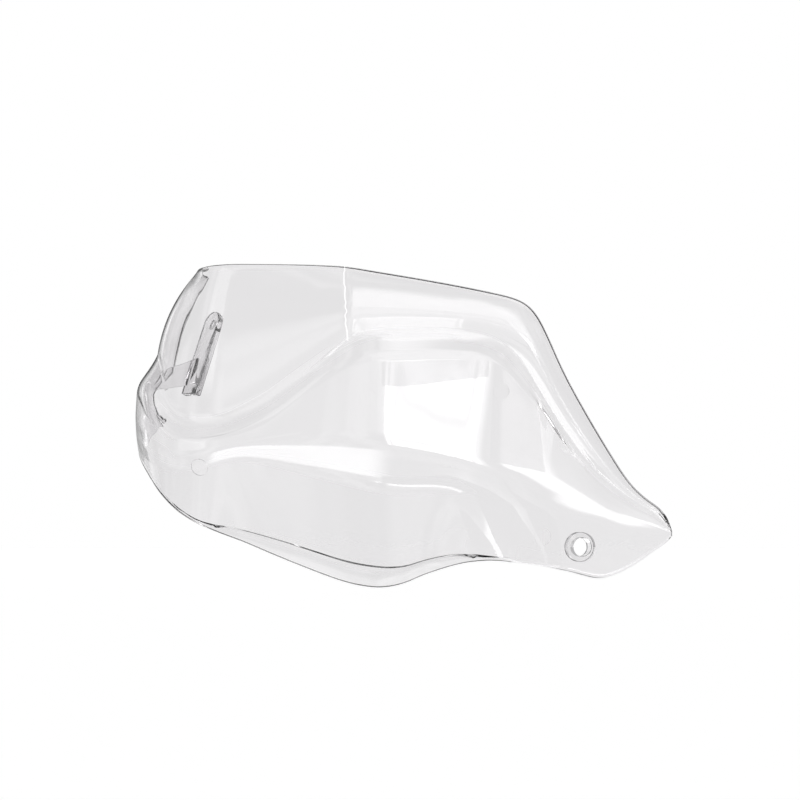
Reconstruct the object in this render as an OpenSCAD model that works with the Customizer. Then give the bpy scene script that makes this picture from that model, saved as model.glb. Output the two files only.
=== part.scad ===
// Hand guard shell for a motorcycle handlebar, left hand, moulded in one piece.
// Origin at the bar-end hole, X outboard to the tip, Y to the rider, Z up.

/* [Overall] */
// Length from the inboard bend to the tip
guard_l = 291; // [250:1:330]
// Height from the lowest point of the rim to the top edge
guard_h = 175; // [150:1:200]
// Wall thickness of the moulding
wall = 3; // [2:0.1:4]

/* [Plan] */
// Distance from the inboard bend to the vertical fold of the front
fold_x = 115.5; // [100:1:130]
// Slope of the front inboard of the fold, degrees
inner_slope = 12; // [5:1:18]
// Slope of the front outboard of the fold, degrees
outer_slope = 13; // [8:1:18]
// Distance from the inboard bend to the soft upright ridge before the tip
ridge_x = 192; // [180:1:205]
// Half the width over which the front turns at that ridge
ridge_r = 12; // [6:1:20]
// Slope of the tip outboard of the ridge, degrees
tip_slope = 19; // [13:1:24]
// Radius of the fold across the bowl
bowl_fold_r = 26; // [10:1:40]
// Radius of the fold across the top flange
flange_fold_r = 3; // [1:0.5:10]
// Radius of the inboard bend
bend_r = 60; // [52:1:68]
// Length of the wrap that the inboard bend turns in behind itself
wrap_l = 45; // [34:1:52]

/* [Section] */
// How far the top flange is set back behind the bowl
flange_set = 10; // [6:0.5:12]
// How far the top edge leans back from the foot of the flange
flange_lean = 24; // [15:1:26]
// Crown of the flange between its foot and the top edge
flange_crown = 4; // [0:0.5:6]
// How far the lower face falls back from the brow to the lower bend
bowl_depth = 36; // [25:1:45]
// How far the bottom lip runs back from the lower bend
lip_depth = 14; // [8:1:20]

/* [Bar-end hole] */
// Bore of the bar-end hole
hole_d = 10.4; // [8:0.1:12]
// Outside of the boss behind the hole
boss_d = 16; // [15:0.5:20]
// Length of the bore through the wall and the boss
boss_l = 8; // [6:0.5:12]

/* [Inboard tab] */
// Length of the tab from the middle of its web to its round end
tab_l = 34; // [28:1:40]
// Width of the tab
tab_w = 14; // [12:1:18]
// Thickness of the tab and its web
tab_t = 3.5; // [2.5:0.5:4.5]
// Reach of the web from the outer face of the bowl to the tab
web_reach = 31; // [26:0.5:34]
// How far the web climbs on its way to the tab
web_rise = 4; // [0:0.5:8]
// Height of the web where it meets the tab
web_h = 14; // [10:1:18]
// Distance of the web from the deepest point of the wrap
tab_in = 25; // [23:0.5:32]
// Direction that the tab faces, degrees back from the length
tab_facing = 37; // [25:1:45]
// How far the tab leans with the flange, degrees
tab_lean = 21; // [12:1:25]
// Bore of the hole in the tab
tab_hole_d = 6.4; // [5:0.1:7]

/* [Hidden] */
CLEAR = [0.88, 0.91, 0.92, 0.45];
$fn = 48;

// Where the outline stands around the hole, as shares of length and height
HOLE_X = 0.833;
HOLE_Z = 0.1265;

// Guide lines: first the place along the developed length, in percent of
// guard_l from the inboard bend to the tip, then the value there.
// Heights are percent of guard_h above the lowest point of the rim.
RIM_Z = [[-28, 51], [-18, 46], [-9, 40.4], [-4, 35.8], [1, 28.6], [5, 23.6], [11, 18.9], [21, 13.4],
    [30.5, 7], [38, 2.3], [42, 0.6], [46, 0], [50, 1.2], [54, 4], [60.5, 7.4], [65, 8.4], [69, 8.3],
    [76, 7], [81.5, 5.2], [86, 3.3], [88.5, 3.7], [93, 7.2], [97, 11.8], [99, 14], [100, 16]];
LIP_Z = [[-28, 0.8], [10, 0.8], [20, 3.2], [30, 5.4], [44, 6.2], [52, 4.4], [58, 3.2], [64, 1.2],
    [70, 0.8], [95, 0.8], [100, 0.3]];
BROW_LOW_Z = [[-28, 53.4], [-9, 46], [0, 39], [8, 36.5], [20, 40], [31, 37], [48, 31.5], [60, 31.2],
    [67, 29], [76, 25.5], [86, 22.5], [91, 19.6], [97, 17.6], [100, 16.8]];
BROW_Z = [[-28, 55.6], [-9, 52], [0, 44.5], [8, 41], [20, 44.5], [31, 45.5], [46, 44], [60, 39.5],
    [67, 36.5], [75, 33.5], [83, 29.4], [90, 23.8], [97, 19.4], [100, 17]];
SHOULDER_Z = [[-28, 58.5], [-15, 61.5], [-9, 62], [-2, 54], [4, 48.4], [9, 46.2], [14, 46.6], [19, 48.6],
    [25, 53], [31, 60], [37, 67], [43, 71], [52, 72], [62, 72], [67, 71], [70, 67.6], [73, 61.6],
    [76, 55.6], [80, 45.6], [84, 36.6], [88, 30], [93, 24.6], [97, 21.2], [100, 17.2]];
FOOT_Z = [[-28, 62], [-15, 68.6], [-9, 69.4], [-5, 64.6], [-1, 58], [3, 53.8], [9, 51], [14, 51.2],
    [19, 53.6], [25, 58.6], [31, 65.6], [37, 72.4], [43, 77.2], [52, 78], [62, 77.4], [67, 75.4],
    [71, 70.4], [75, 61], [79, 50.4], [84, 39], [88, 32.2], [93, 26.4], [97, 22.6], [100, 17.4]];
TOP_Z = [[-28, 96.4], [-9, 97.8], [5, 99], [14, 99.8], [20, 100], [38, 99.3], [46, 97.4], [58, 94],
    [67, 91], [71, 89.2], [73.4, 87], [75.6, 82.4], [80, 66.4], [84, 54.2], [88, 43], [92, 32.8],
    [95, 27.8], [98, 24.2], [99.2, 21.6], [100, 17.6]];
// Depths are shares of the named depth, behind the plan line
RIM_BACK = [[-28, 0.04], [-9, 0.05], [0, 0.12], [8, 0.32], [20, 0.7], [32, 0.95], [44, 1], [54, 0.86],
    [62, 0.5], [70, 0.2], [76, 0.05], [80, 0], [100, 0]];
LIP_BACK = [[-28, 0.04], [8, 0.06], [20, 0.5], [32, 0.9], [44, 1], [54, 0.8], [61, 0.4], [68, 0.06],
    [76, 0], [100, 0]];
LEAN_BACK = [[-28, 0.9], [-9, 1], [5, 0.92], [15, 0.84], [28, 0.72], [40, 0.6], [52, 0.46], [64, 0.34],
    [72, 0.26], [80, 0.14], [90, 0.06], [100, 0]];
SET_BACK = [[-28, 1], [60, 1], [67, 0.86], [73, 0.62], [79, 0.42], [85, 0.3], [92, 0.18], [97, 0.08], [100, 0]];
// The shoulder stands back from the brow by this share of the flange set
SHOULDER_BACK = [[-28, 0.1], [8, 0.12], [22, 0.2], [36, 0.42], [48, 0.48], [60, 0.42], [72, 0.28],
    [84, 0.14], [100, 0]];
// The lower edge of the brow stands back by this share of bowl_depth
BROW_BACK = [[-28, 0.01], [0, 0.02], [20, 0.05], [48, 0.14], [64, 0.08], [76, 0], [100, 0]];
// Free edge of the wrap: number of the guide line, from the rim 0 to the top edge 6,
// then the share of wrap_l that the skin reaches there. The flange ends in a shallow lobe.
END_REACH = [[0, 0.92], [1, 0.9], [2, 0.8], [3, 0.7], [4, 0.57], [5, 0.64], [5.3, 0.7], [5.5, 0.75],
    [5.7, 0.73], [5.9, 0.68], [6, 0.64]];

// Columns along the length: percent where a stretch starts, and how many columns it holds
STRETCHES = [[0, 15], [0.225, 13], [0.4, 8], [0.455, 12], [0.64, 14], [0.86, 9]];
// Points round each inner corner of the section, and up the flange above the last corner
ARC_STEPS = 5;
FLANGE_STEPS = 6;
// Guide line number where the flange's own points start, above the foot, which is line 5
FLANGE_LINE = 5.3;
// Spread of a corner's points between guide lines
CORNER_SPREAD = 0.6;
// Half the width, in percent, over which a guide line is smoothed
SMOOTH = 0.8;
// A flange at least this tall has its full crown
CROWN_H = 40;
// Half the length over which the inward direction starts to turn into the bend
TURN_EASE = 28;
// Share of the shorter side that each inner corner of the section rounds away
SOFT = [0.22, 0.28, 0.36, 0.3, 0.3];
// How deep the web of the tab roots in the wall, as a share of the wall
ROOT_DEPTH = 0.6;

// Plan sizes
X_BEND = -HOLE_X * guard_l;
X_FOLD = X_BEND + fold_x;
X_RIDGE = X_BEND + ridge_x;
BEND_PAST = wrap_l / bend_r * 180 / PI;
BEND_TURN = 90 - inner_slope + BEND_PAST;
BEND_ARC = bend_r * BEND_TURN * PI / 180;
BEND_X0 = X_BEND + bend_r * (1 - sin(inner_slope));
Q_BEND = (BEND_X0 - X_BEND) / guard_l * 100;
Q_START = Q_BEND - BEND_ARC / guard_l * 100;

// Value of a guide line at q: cubic pieces with slopes taken from the neighbours
function slope(line, i) = let(a = line[max(i - 1, 0)], b = line[min(i + 1, len(line) - 1)])
    (b[1] - a[1]) / (b[0] - a[0]);
function piece(line, q, i = 0) = i >= len(line) - 2 || q < line[i + 1][0] ? i : piece(line, q, i + 1);
function hermite(p, q, m, n, t) = let(w = q[0] - p[0])
    p[1] * (1 + 2 * t) * pow(1 - t, 2) + q[1] * t * t * (3 - 2 * t)
    + w * (m * t * pow(1 - t, 2) - n * t * t * (1 - t));
function guide_raw(line, q) = let(
        s = min(max(q, line[0][0]), line[len(line) - 1][0]),
        i = piece(line, s),
        t = (s - line[i][0]) / (line[i + 1][0] - line[i][0]))
    hermite(line[i], line[i + 1], slope(line, i), slope(line, i + 1), t);
function guide(line, q) = let(e = min(SMOOTH, 100 - q))
    (guide_raw(line, q - e) + 2 * guide_raw(line, q) + guide_raw(line, q + e)) / 4;

// Plan line: y of the front at x, and the point and inward direction at a developed place q
function ramp(d, r) = d <= -r ? 0 : d >= r ? d : pow(d + r, 2) / (4 * r);
function front_y(x, r) = let(a = tan(outer_slope), b = tan(inner_slope), d = x - X_FOLD)
    (a - b) / 2 * d + (a + b) / 2 * (abs(d) >= r ? abs(d) : (d * d + r * r) / (2 * r))
    + (tan(tip_slope) - a) * ramp(x - X_RIDGE, ridge_r);
Y_SHIFT = front_y(0, bowl_fold_r);
function bend_c() = [X_BEND + bend_r, front_y(BEND_X0, bowl_fold_r) - Y_SHIFT + bend_r * cos(inner_slope)];
function facing(s) = 90 - ramp(-s, TURN_EASE) / BEND_ARC * (90 + BEND_PAST);
function plan(q, r) = let(s = (q - Q_BEND) / 100 * guard_l)
    s >= 0 ? [BEND_X0 + s, front_y(BEND_X0 + s, r) - Y_SHIFT, facing(s)]
    : let(out = 270 - inner_slope + s / bend_r * 180 / PI,
          p = bend_c() + bend_r * [cos(out), sin(out)])
      [p[0], p[1], facing(s)];

// Section at q as [back, height] corners, from the rim up to the top edge
function z_of(line, q) = (guide(line, q) / 100 - HOLE_Z) * guard_h;
function corners(q) = let(
        rim = guide(RIM_BACK, q) * bowl_depth,
        foot = guide(SET_BACK, q) * flange_set)
    [[rim + guide(LIP_BACK, q) * lip_depth, z_of(RIM_Z, q)],
     [rim, z_of(RIM_Z, q) + guide(LIP_Z, q) / 100 * guard_h],
     [guide(BROW_BACK, q) * bowl_depth, z_of(BROW_LOW_Z, q)],
     [0, z_of(BROW_Z, q)],
     [guide(SHOULDER_BACK, q) * flange_set, z_of(SHOULDER_Z, q)],
     [foot, z_of(FOOT_Z, q)],
     [foot + guide(LEAN_BACK, q) * flange_lean, z_of(TOP_Z, q)]];

// Rounded section: each inner corner is a parabola between its two sides
function blend(a, b, c, t) = a * pow(1 - t, 2) + b * 2 * t * (1 - t) + c * t * t;
function corner_arc(c, k) = let(
        p = c[k], before = c[k - 1] - p, after = c[k + 1] - p,
        reach = SOFT[k - 1] * min(norm(before), norm(after)))
    [for (i = [0 : ARC_STEPS]) blend(p + before / norm(before) * reach, p,
        p + after / norm(after) * reach, i / ARC_STEPS)];
function flange_points(c) = let(
        a = corner_arc(c, 5)[ARC_STEPS], b = c[6],
        side = [-(b - a)[1], (b - a)[0]] / norm(b - a))
    [for (i = [1 : FLANGE_STEPS]) let(t = i / FLANGE_STEPS)
        a + (b - a) * t + side * flange_crown * 4 * t * (1 - t) * min(1, norm(b - a) / CROWN_H)];
function section(q) = let(c = corners(q))
    concat([c[0]], [for (k = [1 : 5]) for (p = corner_arc(c, k)) p], flange_points(c));

ROWS = len(section(Q_BEND));
FLANGE_ROW = ROWS - FLANGE_STEPS - 1;
// Which guide line row v follows, in parts of a line between two of them
function row_line(v) = v == 0 ? 0
    : v > FLANGE_ROW ? FLANGE_LINE + (6 - FLANGE_LINE) * (v - FLANGE_ROW) / FLANGE_STEPS
    : let(k = floor((v - 1) / (ARC_STEPS + 1)), i = (v - 1) % (ARC_STEPS + 1))
        k + 1 + CORNER_SPREAD * (i / ARC_STEPS - 0.5);
function row_reach(v) = guide_raw(END_REACH, row_line(v));
// The flange has a sharper fold than the bowl below its foot
function row_fold(v) = bowl_fold_r
    + (flange_fold_r - bowl_fold_r) * min(max((row_line(v) - 5) / (FLANGE_LINE - 5), 0), 1);

function column_shares() = [for (k = [0 : len(STRETCHES) - 1]) let(
        a = STRETCHES[k][0], b = k + 1 < len(STRETCHES) ? STRETCHES[k + 1][0] : 1, n = STRETCHES[k][1])
    for (i = [0 : n - 1]) a + (b - a) * i / n];
SHARES = concat(column_shares(), [1]);
COLS = len(SHARES);

function skin_point(share, v) = let(
        q0 = Q_START + (1 - row_reach(v)) * wrap_l / guard_l * 100,
        q = q0 + share * (100 - q0),
        s = section(q)[v],
        p = plan(q, row_fold(v)))
    [p[0] + s[0] * cos(p[2]), p[1] + s[0] * sin(p[2]), s[1]];
OUTER = [for (c = SHARES) [for (v = [0 : ROWS - 1]) skin_point(c, v)]];
function unit(p) = p / max(norm(p), 0.0001);
function inward(c, v) = let(
        along = OUTER[min(c + 1, COLS - 1)][v] - OUTER[max(c - 1, 0)][v],
        up = OUTER[c][min(v + 1, ROWS - 1)] - OUTER[c][max(v - 1, 0)])
    unit(cross(up, along));

module skin() {
    n = COLS * ROWS;
    outer = [for (c = OUTER) for (p = c) p];
    inner = [for (c = [0 : COLS - 1]) for (v = [0 : ROWS - 1]) OUTER[c][v] + wall * inward(c, v)];
    quads = [for (c = [0 : COLS - 2]) for (v = [0 : ROWS - 2]) let(a = c * ROWS + v)
        [a, a + ROWS, a + ROWS + 1, a + 1]];
    rims = concat(
        [for (c = [0 : COLS - 2]) [c * ROWS, (c + 1) * ROWS]],
        [for (v = [0 : ROWS - 2]) [(COLS - 1) * ROWS + v, (COLS - 1) * ROWS + v + 1]],
        [for (c = [COLS - 1 : -1 : 1]) [c * ROWS + ROWS - 1, (c - 1) * ROWS + ROWS - 1]],
        [for (v = [ROWS - 1 : -1 : 1]) [v, v - 1]]);
    faces = concat(
        [for (f = quads) each [[f[0], f[2], f[1]], [f[0], f[3], f[2]]]],
        [for (f = quads) each [[f[0] + n, f[1] + n, f[2] + n], [f[0] + n, f[2] + n, f[3] + n]]],
        [for (r = rims) each [[r[0], r[1], r[1] + n], [r[0], r[1] + n, r[0] + n]]]);
    polyhedron(concat(outer, inner), faces);
}

// Turned so that its own Z runs along the bar-end hole, into the wall
module at_hole() {
    rotate([0, 0, tip_slope]) rotate([-90, 0, 0]) children();
}

// At the inboard end: X into the hand space, from the outer face at the shoulder
Q_TAB = Q_START + tab_in / guard_l * 100;
TAB_CORNERS = corners(Q_TAB);
TAB_PLAN = plan(Q_TAB, bowl_fold_r);
module at_tab() {
    back = TAB_CORNERS[4][0];
    foot = [TAB_PLAN[0] + back * cos(TAB_PLAN[2]), TAB_PLAN[1] + back * sin(TAB_PLAN[2])];
    translate([foot[0], foot[1], TAB_CORNERS[4][1]])
        rotate([0, 0, TAB_PLAN[2]]) children();
}

// Lies flat in the tab, with Y up along it and Z through it, from the middle of the web's end
module in_tab() {
    translate([web_reach, 0, web_rise + web_h / 2])
        rotate([0, 0, tab_facing - TAB_PLAN[2]]) rotate([0, tab_lean, 0]) rotate([90, 0, 90]) children();
}

module inboard_tab() {
    root = [wall * ROOT_DEPTH, 0];
    riser = TAB_CORNERS[5] - TAB_CORNERS[4];
    straight = tab_l - tab_w / 2;
    in_tab() translate([0, 0, -tab_t / 2]) linear_extrude(tab_t) {
        translate([-tab_w / 2, -web_h]) square([tab_w, straight + web_h]);
        translate([0, straight]) circle(d = tab_w);
    }
    translate([0, tab_t / 2, 0]) rotate([90, 0, 0]) linear_extrude(tab_t)
        polygon([root, [web_reach, web_rise], [web_reach, web_rise + web_h], riser + root]);
}

module shell() {
    color(CLEAR) difference() {
        union() {
            skin();
            at_hole() translate([0, 0, wall / 2]) cylinder(d = boss_d, h = boss_l - wall / 2);
            at_tab() inboard_tab();
        }
        at_hole() translate([0, 0, -wall]) cylinder(d = hole_d, h = boss_l + 2 * wall);
        at_tab() in_tab() translate([0, tab_l - tab_w / 2, -tab_t]) cylinder(d = tab_hole_d, h = 2 * tab_t);
    }
}

shell();
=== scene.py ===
"""A clear moulded hand guard for a motorcycle handlebar, dressed for its render."""
from __future__ import annotations

import logging
import math
from dataclasses import dataclass, field
from enum import Enum

import bmesh
import bpy
import numpy as np
from mathutils import Matrix, Vector

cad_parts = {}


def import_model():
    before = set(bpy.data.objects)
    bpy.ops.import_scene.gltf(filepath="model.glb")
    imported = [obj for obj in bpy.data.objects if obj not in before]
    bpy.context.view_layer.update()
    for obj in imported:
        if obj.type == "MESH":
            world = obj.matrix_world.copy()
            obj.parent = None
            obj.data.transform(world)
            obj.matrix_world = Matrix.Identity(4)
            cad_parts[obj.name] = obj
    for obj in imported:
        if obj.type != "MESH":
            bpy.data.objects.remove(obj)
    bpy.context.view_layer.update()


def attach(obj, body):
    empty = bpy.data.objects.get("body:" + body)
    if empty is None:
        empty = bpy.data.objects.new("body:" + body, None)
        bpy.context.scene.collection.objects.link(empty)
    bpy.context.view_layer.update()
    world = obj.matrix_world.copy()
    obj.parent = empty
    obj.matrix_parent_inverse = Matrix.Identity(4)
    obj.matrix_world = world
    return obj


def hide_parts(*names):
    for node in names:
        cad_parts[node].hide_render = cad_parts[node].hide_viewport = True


LOG = logging.getLogger("hand_guard")
MM = 0.001
TINY = 1e-9
BEVEL_ANGLE = math.radians(40)
BEVEL_STEPS = 3
Line = list[tuple[float, float]]


class Slot(Enum):
    """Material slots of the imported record."""

    CLEAR_PLASTIC = "clear_plastic"


class Guide(Enum):
    """Guide lines of the skin, from the rim up to the top edge."""

    RIM = 0
    BEND = 1
    BROW_LOW = 2
    BROW = 3
    SHOULDER = 4
    FOOT = 5
    TOP = 6


def linear(hex_colour: str) -> tuple[float, float, float, float]:
    """Turns an sRGB hex colour into Blender's linear colour.

    Args:
        hex_colour: Six hex digits.

    Returns:
        Red, green, blue and full alpha.
    """
    parts = [int(hex_colour[i : i + 2], 16) / 255 for i in (0, 2, 4)]
    low = [c / 12.92 if c <= 0.04045 else ((c + 0.055) / 1.055) ** 2.4 for c in parts]
    return low[0], low[1], low[2], 1.0


def add_node(
    tree: bpy.types.NodeTree, kind: str, links: dict | None = None, **settings: object,
) -> bpy.types.Node:
    """Adds a node with its settings, its socket values and its links.

    Args:
        tree: The node tree to add to.
        kind: The node's Blender type name.
        links: Input name or index to an output socket to link, or a value to set.
        settings: Attributes of the node itself.

    Returns:
        The new node.
    """
    node = tree.nodes.new(kind)
    for name, value in settings.items():
        setattr(node, name, value)
    for key, value in (links or {}).items():
        if isinstance(value, bpy.types.NodeSocket):
            tree.links.new(value, node.inputs[key])
        else:
            node.inputs[key].default_value = value
    return node


@dataclass(frozen=True)
class ClearPolycarbonate:
    """Clear polycarbonate, injection moulded in a polished tool.

    To the eye it is water-clear across the wall, greyer along it, glossy, and faintly rippled where the melt
    flowed, so that reflections of straight windows come back slightly bent. A thin line up the fold of the
    flange is a painted highlight that glows white through emission.
    """

    name: str = "clear_polycarbonate_moulded"
    ior: float = 1.585
    roughness: float = 0.02
    surface: str = "F2F1F2"
    depth_tint: str = "939194"
    depth_density: float = 24.0
    ripple_mm: float = 34.0
    ripple_height_mm: float = 0.12
    # Real orange peel is about a millimetre across. It is drawn coarser here, so that it shows in the render.
    orange_peel_mm: float = 5.0
    orange_peel_height_mm: float = 0.004
    # The line up the fold of the flange is a painted highlight: it glows white through emission, in place of
    # a lamp's reflection on the fold. A bump there would look dark.
    painted_highlight_x_mm: float = -127.0
    painted_highlight_lean: float = 0.055
    painted_highlight_from_z_mm: float = 112.0
    painted_highlight_width_mm: float = 0.9
    painted_highlight_glow: float = 0.22
    painted_highlight_wander_mm: float = 3.0
    painted_highlight_wave_mm: float = 9.0

    def painted_highlight_line(self, tree: bpy.types.NodeTree, place: bpy.types.NodeSocket) -> bpy.types.NodeSocket:
        """Mask of the painted highlight, a fine wavering line that runs up the fold of the flange.

        Args:
            tree: The material's node tree.
            place: Object coordinates.

        Returns:
            One on the line and zero beside it.
        """
        part = add_node(tree, "ShaderNodeSeparateXYZ", {"Vector": place}).outputs
        along = add_node(tree, "ShaderNodeCombineXYZ", {"X": part["Z"]})
        waver = add_node(
            tree, "ShaderNodeTexNoise",
            {"Vector": along.outputs[0], "Scale": 1 / (self.painted_highlight_wave_mm * MM), "Detail": 2.0},
        )
        wander = self.painted_highlight_wander_mm * MM
        drift = add_node(
            tree, "ShaderNodeMapRange", {"Value": waver.outputs["Fac"], "To Min": -wander, "To Max": wander},
        )
        lean = add_node(
            tree, "ShaderNodeMath",
            {0: part["Z"], 1: self.painted_highlight_lean, 2: drift.outputs["Result"]}, operation="MULTIPLY_ADD",
        )
        moved = add_node(tree, "ShaderNodeMath", {0: part["X"], 1: lean.outputs[0]}, operation="ADD")
        start = (self.painted_highlight_x_mm + self.painted_highlight_lean * self.painted_highlight_from_z_mm) * MM
        off = add_node(tree, "ShaderNodeMath", {0: moved.outputs[0], 1: start}, operation="SUBTRACT")
        away = add_node(tree, "ShaderNodeMath", {0: off.outputs[0]}, operation="ABSOLUTE")
        ridge = add_node(
            tree, "ShaderNodeMapRange",
            {"Value": away.outputs[0], "From Min": self.painted_highlight_width_mm * MM / 2, "From Max": 0.0},
            interpolation_type="SMOOTHSTEP",
        )
        above = add_node(
            tree, "ShaderNodeMath", {0: part["Z"], 1: self.painted_highlight_from_z_mm * MM}, operation="GREATER_THAN",
        )
        return add_node(
            tree, "ShaderNodeMath", {0: ridge.outputs["Result"], 1: above.outputs[0]}, operation="MULTIPLY",
        ).outputs[0]

    def build(self) -> bpy.types.Material:
        """Builds the material.

        Returns:
            A procedural material that reads Object coordinates.
        """
        material = bpy.data.materials.new(self.name)
        material.use_nodes = True
        tree = material.node_tree
        tree.nodes.clear()
        place = add_node(tree, "ShaderNodeTexCoord").outputs["Object"]
        ripple = add_node(
            tree, "ShaderNodeTexNoise",
            {"Vector": place, "Scale": 1 / (self.ripple_mm * MM), "Detail": 1.0, "Roughness": 0.4},
        )
        peel = add_node(
            tree, "ShaderNodeTexNoise",
            {"Vector": place, "Scale": 1 / (self.orange_peel_mm * MM), "Detail": 1.0, "Roughness": 0.5},
        )
        flow = add_node(
            tree, "ShaderNodeBump",
            {"Height": ripple.outputs["Fac"], "Distance": self.ripple_height_mm * MM, "Strength": 1.0},
        )
        skin = add_node(
            tree, "ShaderNodeBump",
            {"Height": peel.outputs["Fac"], "Distance": self.orange_peel_height_mm * MM, "Strength": 1.0,
             "Normal": flow.outputs["Normal"]},
        )
        # Painted highlight: the line's mask drives the emission, so the fold glows white as if it mirrored a
        # lamp.
        highlight_mask = self.painted_highlight_line(tree, place)
        painted_glow = add_node(tree, "ShaderNodeMath", {0: highlight_mask, 1: self.painted_highlight_glow}, operation="MULTIPLY")
        shader = add_node(
            tree, "ShaderNodeBsdfPrincipled",
            {"Base Color": linear(self.surface), "IOR": self.ior, "Roughness": self.roughness,
             "Transmission Weight": 1.0, "Normal": skin.outputs["Normal"],
             "Emission Color": linear("FFFFFF"), "Emission Strength": painted_glow.outputs[0]},
        )
        depth = add_node(
            tree, "ShaderNodeVolumeAbsorption",
            {"Color": linear(self.depth_tint), "Density": self.depth_density},
        )
        add_node(
            tree, "ShaderNodeOutputMaterial",
            {"Surface": shader.outputs["BSDF"], "Volume": depth.outputs["Volume"]},
        )
        return material


@dataclass
class ShellForm:
    """The form of the moulding: a section of guide lines carried along a plan line. Sizes in millimetres."""

    length: float = 291.0
    height: float = 175.0
    wall: float = 3.0
    fold_x: float = 115.5
    inner_slope: float = 12.0
    outer_slope: float = 13.0
    ridge_x: float = 192.0
    ridge_r: float = 12.0
    tip_slope: float = 19.0
    bowl_fold_r: float = 26.0
    flange_fold_r: float = 3.0
    bend_r: float = 60.0
    wrap: float = 45.0
    flange_set: float = 10.0
    flange_lean: float = 24.0
    flange_crown: float = 4.0
    bowl_depth: float = 36.0
    lip_depth: float = 14.0
    turn_ease: float = 28.0
    hole_x: float = 0.833
    hole_z: float = 0.1265
    softness: tuple[float, ...] = (0.22, 0.28, 0.36, 0.3, 0.3)
    arc_steps: int = 14
    side_steps: int = 3
    flange_steps: int = 26
    # How far a rounded corner reaches on each side of its guide line, where guide lines are 1 apart.
    round_half: float = 0.3
    # The flange has its full crown where it is at least this high.
    crown_span: float = 40.0
    # Guide lines are smoothed over this reach, in percent of the length, with weights that fall to its ends.
    ease_reach: float = 1.6
    ease_taps: int = 9
    ease_fall: float = 0.9
    columns: int = 250
    column_samples: int = 4001
    # Where columns stand closer: the middle and the spread, as shares of the length, and how much closer.
    column_crowds: tuple[tuple[float, float, float], ...] = (
        (0.0, 0.06, 0.6), (0.43, 0.03, 1.6), (0.79, 0.05, 0.7), (1.0, 0.05, 2.0))
    rim_z: Line = field(default_factory=lambda: [
        (-28, 51), (-18, 46), (-9, 40.4), (-4, 35.8), (1, 28.6), (5, 23.6), (11, 18.9), (21, 13.4), (30.5, 7),
        (38, 2.3), (42, 0.6), (46, 0), (50, 1.2), (54, 4), (60.5, 7.4), (65, 8.4), (69, 8.3), (76, 7),
        (81.5, 5.2), (86, 3.3), (88.5, 3.7), (93, 7.2), (97, 11.8), (99, 14), (100, 16)])
    lip_z: Line = field(default_factory=lambda: [
        (-28, 0.8), (10, 0.8), (20, 3.2), (30, 5.4), (44, 6.2), (52, 4.4), (58, 3.2), (64, 1.2), (70, 0.8),
        (95, 0.8), (100, 0.3)])
    brow_low_z: Line = field(default_factory=lambda: [
        (-28, 53.4), (-9, 46), (0, 39), (8, 36.5), (20, 40), (31, 37), (48, 31.5), (60, 31.2), (67, 29),
        (76, 25.5), (86, 22.5), (91, 19.6), (97, 17.6), (100, 16.8)])
    brow_z: Line = field(default_factory=lambda: [
        (-28, 55.6), (-9, 52), (0, 44.5), (8, 41), (20, 44.5), (31, 45.5), (46, 44), (60, 39.5), (67, 36.5),
        (75, 33.5), (83, 29.4), (90, 23.8), (97, 19.4), (100, 17)])
    shoulder_z: Line = field(default_factory=lambda: [
        (-28, 58.5), (-15, 61.5), (-9, 62), (-2, 54), (4, 48.4), (9, 46.2), (14, 46.6), (19, 48.6), (25, 53),
        (31, 60), (37, 67), (43, 71), (52, 72), (62, 72), (67, 71), (70, 67.6), (73, 61.6), (76, 55.6),
        (80, 45.6), (84, 36.6), (88, 30), (93, 24.6), (97, 21.2), (100, 17.2)])
    foot_z: Line = field(default_factory=lambda: [
        (-28, 62), (-15, 68.6), (-9, 69.4), (-5, 64.6), (-1, 58), (3, 53.8), (9, 51), (14, 51.2), (19, 53.6),
        (25, 58.6), (31, 65.6), (37, 72.4), (43, 77.2), (52, 78), (62, 77.4), (67, 75.4), (71, 70.4),
        (75, 61), (79, 50.4), (84, 39), (88, 32.2), (93, 26.4), (97, 22.6), (100, 17.4)])
    top_z: Line = field(default_factory=lambda: [
        (-28, 96.4), (-9, 97.8), (5, 99), (14, 99.8), (20, 100), (38, 99.3), (46, 97.4), (58, 94), (67, 91),
        (71, 89.2), (73.4, 87), (75.6, 82.4), (80, 66.4), (84, 54.2), (88, 43), (92, 32.8), (95, 27.8),
        (98, 24.2), (99.2, 21.6), (100, 17.6)])
    rim_back: Line = field(default_factory=lambda: [
        (-28, 0.04), (-9, 0.05), (0, 0.12), (8, 0.32), (20, 0.7), (32, 0.95), (44, 1), (54, 0.86), (62, 0.5),
        (70, 0.2), (76, 0.05), (80, 0), (100, 0)])
    lip_back: Line = field(default_factory=lambda: [
        (-28, 0.04), (8, 0.06), (20, 0.5), (32, 0.9), (44, 1), (54, 0.8), (61, 0.4), (68, 0.06), (76, 0),
        (100, 0)])
    lean_back: Line = field(default_factory=lambda: [
        (-28, 0.9), (-9, 1), (5, 0.92), (15, 0.84), (28, 0.72), (40, 0.6), (52, 0.46), (64, 0.34), (72, 0.26),
        (80, 0.14), (90, 0.06), (100, 0)])
    set_back: Line = field(default_factory=lambda: [
        (-28, 1), (60, 1), (67, 0.86), (73, 0.62), (79, 0.42), (85, 0.3), (92, 0.18), (97, 0.08), (100, 0)])
    shoulder_back: Line = field(default_factory=lambda: [
        (-28, 0.1), (8, 0.12), (22, 0.2), (36, 0.42), (48, 0.48), (60, 0.42), (72, 0.28), (84, 0.14),
        (100, 0)])
    brow_back: Line = field(default_factory=lambda: [
        (-28, 0.01), (0, 0.02), (20, 0.05), (48, 0.14), (64, 0.08), (76, 0), (100, 0)])
    end_reach: Line = field(default_factory=lambda: [
        (0, 0.92), (1, 0.9), (2, 0.8), (3, 0.7), (4, 0.57), (5, 0.64), (5.3, 0.7), (5.5, 0.75), (5.7, 0.73),
        (5.9, 0.68), (6, 0.64)])

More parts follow.
